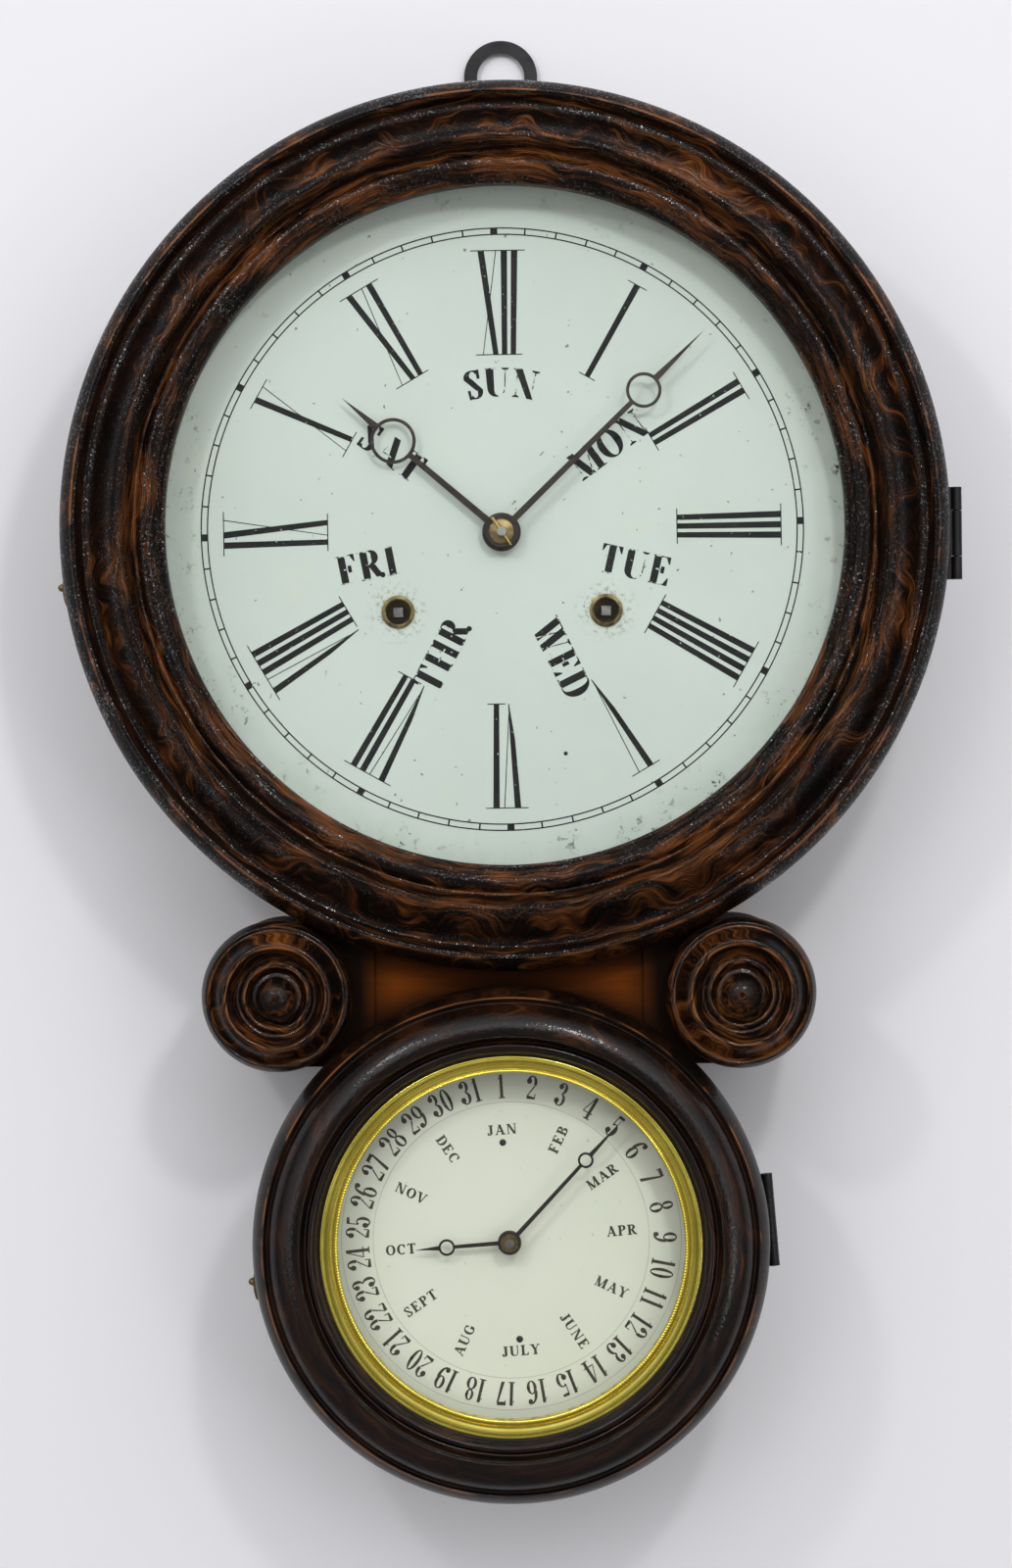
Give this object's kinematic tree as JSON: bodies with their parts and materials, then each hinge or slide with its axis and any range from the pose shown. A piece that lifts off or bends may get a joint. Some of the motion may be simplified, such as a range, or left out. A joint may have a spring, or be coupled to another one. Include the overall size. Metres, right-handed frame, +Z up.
{
  "type": "calendar clock",
  "caption": "Wall clock in a figure-of-eight wooden case, with a time dial above a calendar dial, glazed doors, winding, striking and pendulum work.",
  "frame": {"origin": "centre of the hanging hole, on the face that lies against the wall", "axes": "+Z up, +X to the right seen from the front, -Y towards the viewer"},
  "size_m": [0.4033, 0.1116, 0.6645],
  "materials": {
    "dark_wood": "grained and varnished, glossy",
    "red_wood": "stained and varnished, satin",
    "case_wood": "stained and varnished",
    "plain_wood": "bare",
    "black_iron": "japanned black",
    "steel": "bright",
    "blued_steel": "browned",
    "brass": "aged",
    "bezel_brass": "polished",
    "glass": "old window glass",
    "putty": "dry",
    "dial_paper": "faded green-grey",
    "calendar_paper": "cream, smooth"
  },
  "bodies": {
    "case": {"backboard": "case_wood", "upper_drum": "case_wood", "lower_drum": "case_wood", "waist_blocks": "case_wood", "waist_board": "red_wood", "left_roundel": "dark_wood", "right_roundel": "dark_wood", "hanger_plate": "black_iron", "hanger_screws": "steel", "upper_dial_board": "plain_wood", "upper_dial": "dial_paper", "winding_collets": "brass", "calendar_board": "plain_wood", "calendar_dial": "calendar_paper", "calendar_pins": "steel", "case_hinge_leaves": "black_iron", "hinge_pins": "steel", "latch_pins": "brass", "back_plate": "brass", "front_plate": "brass", "movement_pillars": "brass", "mainsprings": "steel", "gong": "steel"},
    "upper_door": {"upper_door_ring": "dark_wood", "upper_glass": "glass", "upper_putty": "putty", "upper_door_leaf": "black_iron"},
    "lower_door": {"lower_door_ring": "dark_wood", "lower_bezel": "bezel_brass", "lower_glass": "glass", "lower_putty": "putty", "lower_door_leaf": "black_iron"},
    "upper_latch_body": {"upper_latch": "brass"},
    "lower_latch_body": {"lower_latch": "brass"},
    "minute_body": {"minute_arbor": "steel", "minute_hand": "blued_steel", "hand_washer": "brass", "taper_pin": "brass"},
    "minute_wheel_body": {"minute_wheel": "brass"},
    "hour_body": {"hour_pipe": "brass", "hour_hand": "blued_steel"},
    "escape_body": {"escape_wheel": "brass"},
    "fourth_body": {"fourth_wheel": "brass"},
    "centre_body": {"centre_wheel": "brass"},
    "second_body": {"second_wheel": "brass"},
    "time_great_body": {"time_great_wheel": "brass"},
    "time_winding_body": {"time_winding_arbor": "steel"},
    "pin_wheel_body": {"pin_wheel": "brass"},
    "strike_great_body": {"strike_great_wheel": "brass"},
    "strike_winding_body": {"strike_winding_arbor": "steel"},
    "pendulum_body": {"pendulum_rod": "steel", "pendulum_bob": "brass"},
    "verge_body": {"verge": "steel"},
    "hammer_body": {"hammer": "steel"},
    "date_body": {"date_arbor": "steel", "date_hand": "blued_steel", "calendar_nut": "brass"},
    "calendar_wheel_body": {"calendar_wheel": "brass"},
    "month_body": {"month_pipe": "brass", "month_hand": "blued_steel"}
  },
  "joints": [
    {"name": "upper_door_swing", "type": "hinge", "parent": "case", "child": "upper_door", "pos_m": [0.201, -0.0783, -0.2195], "axis": [0, 0, 1], "range_deg": [0, 120]},
    {"name": "lower_door_swing", "type": "hinge", "parent": "case", "child": "lower_door", "pos_m": [0.11546, -0.0783, -0.52412], "axis": [-0.0767, 0, 0.9971], "range_deg": [0, 120]},
    {"name": "upper_latch_turn", "type": "hinge", "parent": "case", "child": "upper_latch_body", "pos_m": [-0.191, -0.073, -0.24], "axis": [1, 0, 0], "range_deg": [-90, 90]},
    {"name": "lower_latch_turn", "type": "hinge", "parent": "case", "child": "lower_latch_body", "pos_m": [-0.109, -0.073, -0.5505], "axis": [1, 0, 0], "range_deg": [-90, 90]},
    {"name": "minute_hand_turn", "type": "hinge", "parent": "case", "child": "minute_body", "pos_m": [-0.0015, -0.075, -0.2173], "axis": [0, 1, 0], "continuous": true},
    {"name": "minute_wheel_turn", "type": "hinge", "parent": "case", "child": "minute_wheel_body", "pos_m": [0.0085, -0.057, -0.19998], "axis": [0, 1, 0], "continuous": true},
    {"name": "hour_hand_turn", "type": "hinge", "parent": "case", "child": "hour_body", "pos_m": [-0.0015, -0.07, -0.2173], "axis": [0, 1, 0], "continuous": true},
    {"name": "escape_wheel_turn", "type": "hinge", "parent": "case", "child": "escape_body", "pos_m": [-0.0015, -0.055, -0.26775], "axis": [0, 1, 0], "continuous": true},
    {"name": "fourth_wheel_turn", "type": "hinge", "parent": "case", "child": "fourth_body", "pos_m": [-0.0015, -0.036, -0.24495], "axis": [0, 1, 0], "continuous": true},
    {"name": "centre_wheel_turn", "type": "hinge", "parent": "case", "child": "centre_body", "pos_m": [-0.0015, -0.036, -0.2173], "axis": [0, 1, 0], "continuous": true},
    {"name": "second_wheel_turn", "type": "hinge", "parent": "case", "child": "second_body", "pos_m": [0.02944, -0.036, -0.22129], "axis": [0, 1, 0], "continuous": true},
    {"name": "time_great_wheel_turn", "type": "hinge", "parent": "case", "child": "time_great_body", "pos_m": [0.0449, -0.043, -0.2523], "axis": [0, 1, 0], "continuous": true},
    {"name": "time_winding", "type": "hinge", "parent": "time_great_body", "child": "time_winding_body", "pos_m": [0.0449, -0.043, -0.2523], "axis": [0, 1, 0], "continuous": true},
    {"name": "pin_wheel_turn", "type": "hinge", "parent": "case", "child": "pin_wheel_body", "pos_m": [-0.03244, -0.036, -0.22129], "axis": [0, 1, 0], "continuous": true},
    {"name": "strike_great_wheel_turn", "type": "hinge", "parent": "case", "child": "strike_great_body", "pos_m": [-0.0479, -0.043, -0.2523], "axis": [0, 1, 0], "continuous": true},
    {"name": "strike_winding", "type": "hinge", "parent": "strike_great_body", "child": "strike_winding_body", "pos_m": [-0.0479, -0.043, -0.2523], "axis": [0, 1, 0], "continuous": true},
    {"name": "pendulum_swing", "type": "hinge", "parent": "case", "child": "pendulum_body", "pos_m": [-0.0015, -0.06, -0.2393], "axis": [0, 1, 0], "range_deg": [-3, 3]},
    {"name": "verge_swing", "type": "hinge", "parent": "case", "child": "verge_body", "pos_m": [-0.0015, -0.055, -0.2493], "axis": [0, 1, 0], "range_deg": [-3.8, 3.8]},
    {"name": "hammer_swing", "type": "hinge", "parent": "case", "child": "hammer_body", "pos_m": [-0.0535, -0.03, -0.1953], "axis": [0, 1, 0], "range_deg": [-1.5, 6]},
    {"name": "date_hand_turn", "type": "hinge", "parent": "case", "child": "date_body", "pos_m": [-0.0008, -0.075, -0.533], "axis": [0, 1, 0], "continuous": true},
    {"name": "calendar_wheel_turn", "type": "hinge", "parent": "case", "child": "calendar_wheel_body", "pos_m": [-0.0008, -0.06, -0.553], "axis": [0, 1, 0], "continuous": true},
    {"name": "month_hand_turn", "type": "hinge", "parent": "case", "child": "month_body", "pos_m": [-0.0008, -0.07, -0.533], "axis": [0, 1, 0], "continuous": true}
  ],
  "couplings": [
    {"joint": "minute_wheel_turn", "follows": "minute_hand_turn", "ratio": -0.33333},
    {"joint": "hour_hand_turn", "follows": "minute_hand_turn", "ratio": 0.083333},
    {"joint": "fourth_wheel_turn", "follows": "escape_wheel_turn", "ratio": -0.10294},
    {"joint": "centre_wheel_turn", "follows": "escape_wheel_turn", "ratio": 0.010008},
    {"joint": "second_wheel_turn", "follows": "escape_wheel_turn", "ratio": -0.0014297},
    {"joint": "time_great_wheel_turn", "follows": "escape_wheel_turn", "ratio": 0.00023829},
    {"joint": "strike_great_wheel_turn", "follows": "pin_wheel_turn", "ratio": -0.16667},
    {"joint": "verge_swing", "follows": "pendulum_swing", "ratio": 1.2632},
    {"joint": "calendar_wheel_turn", "follows": "date_hand_turn", "ratio": -0.33333},
    {"joint": "month_hand_turn", "follows": "date_hand_turn", "ratio": 0.083333}
  ]
}
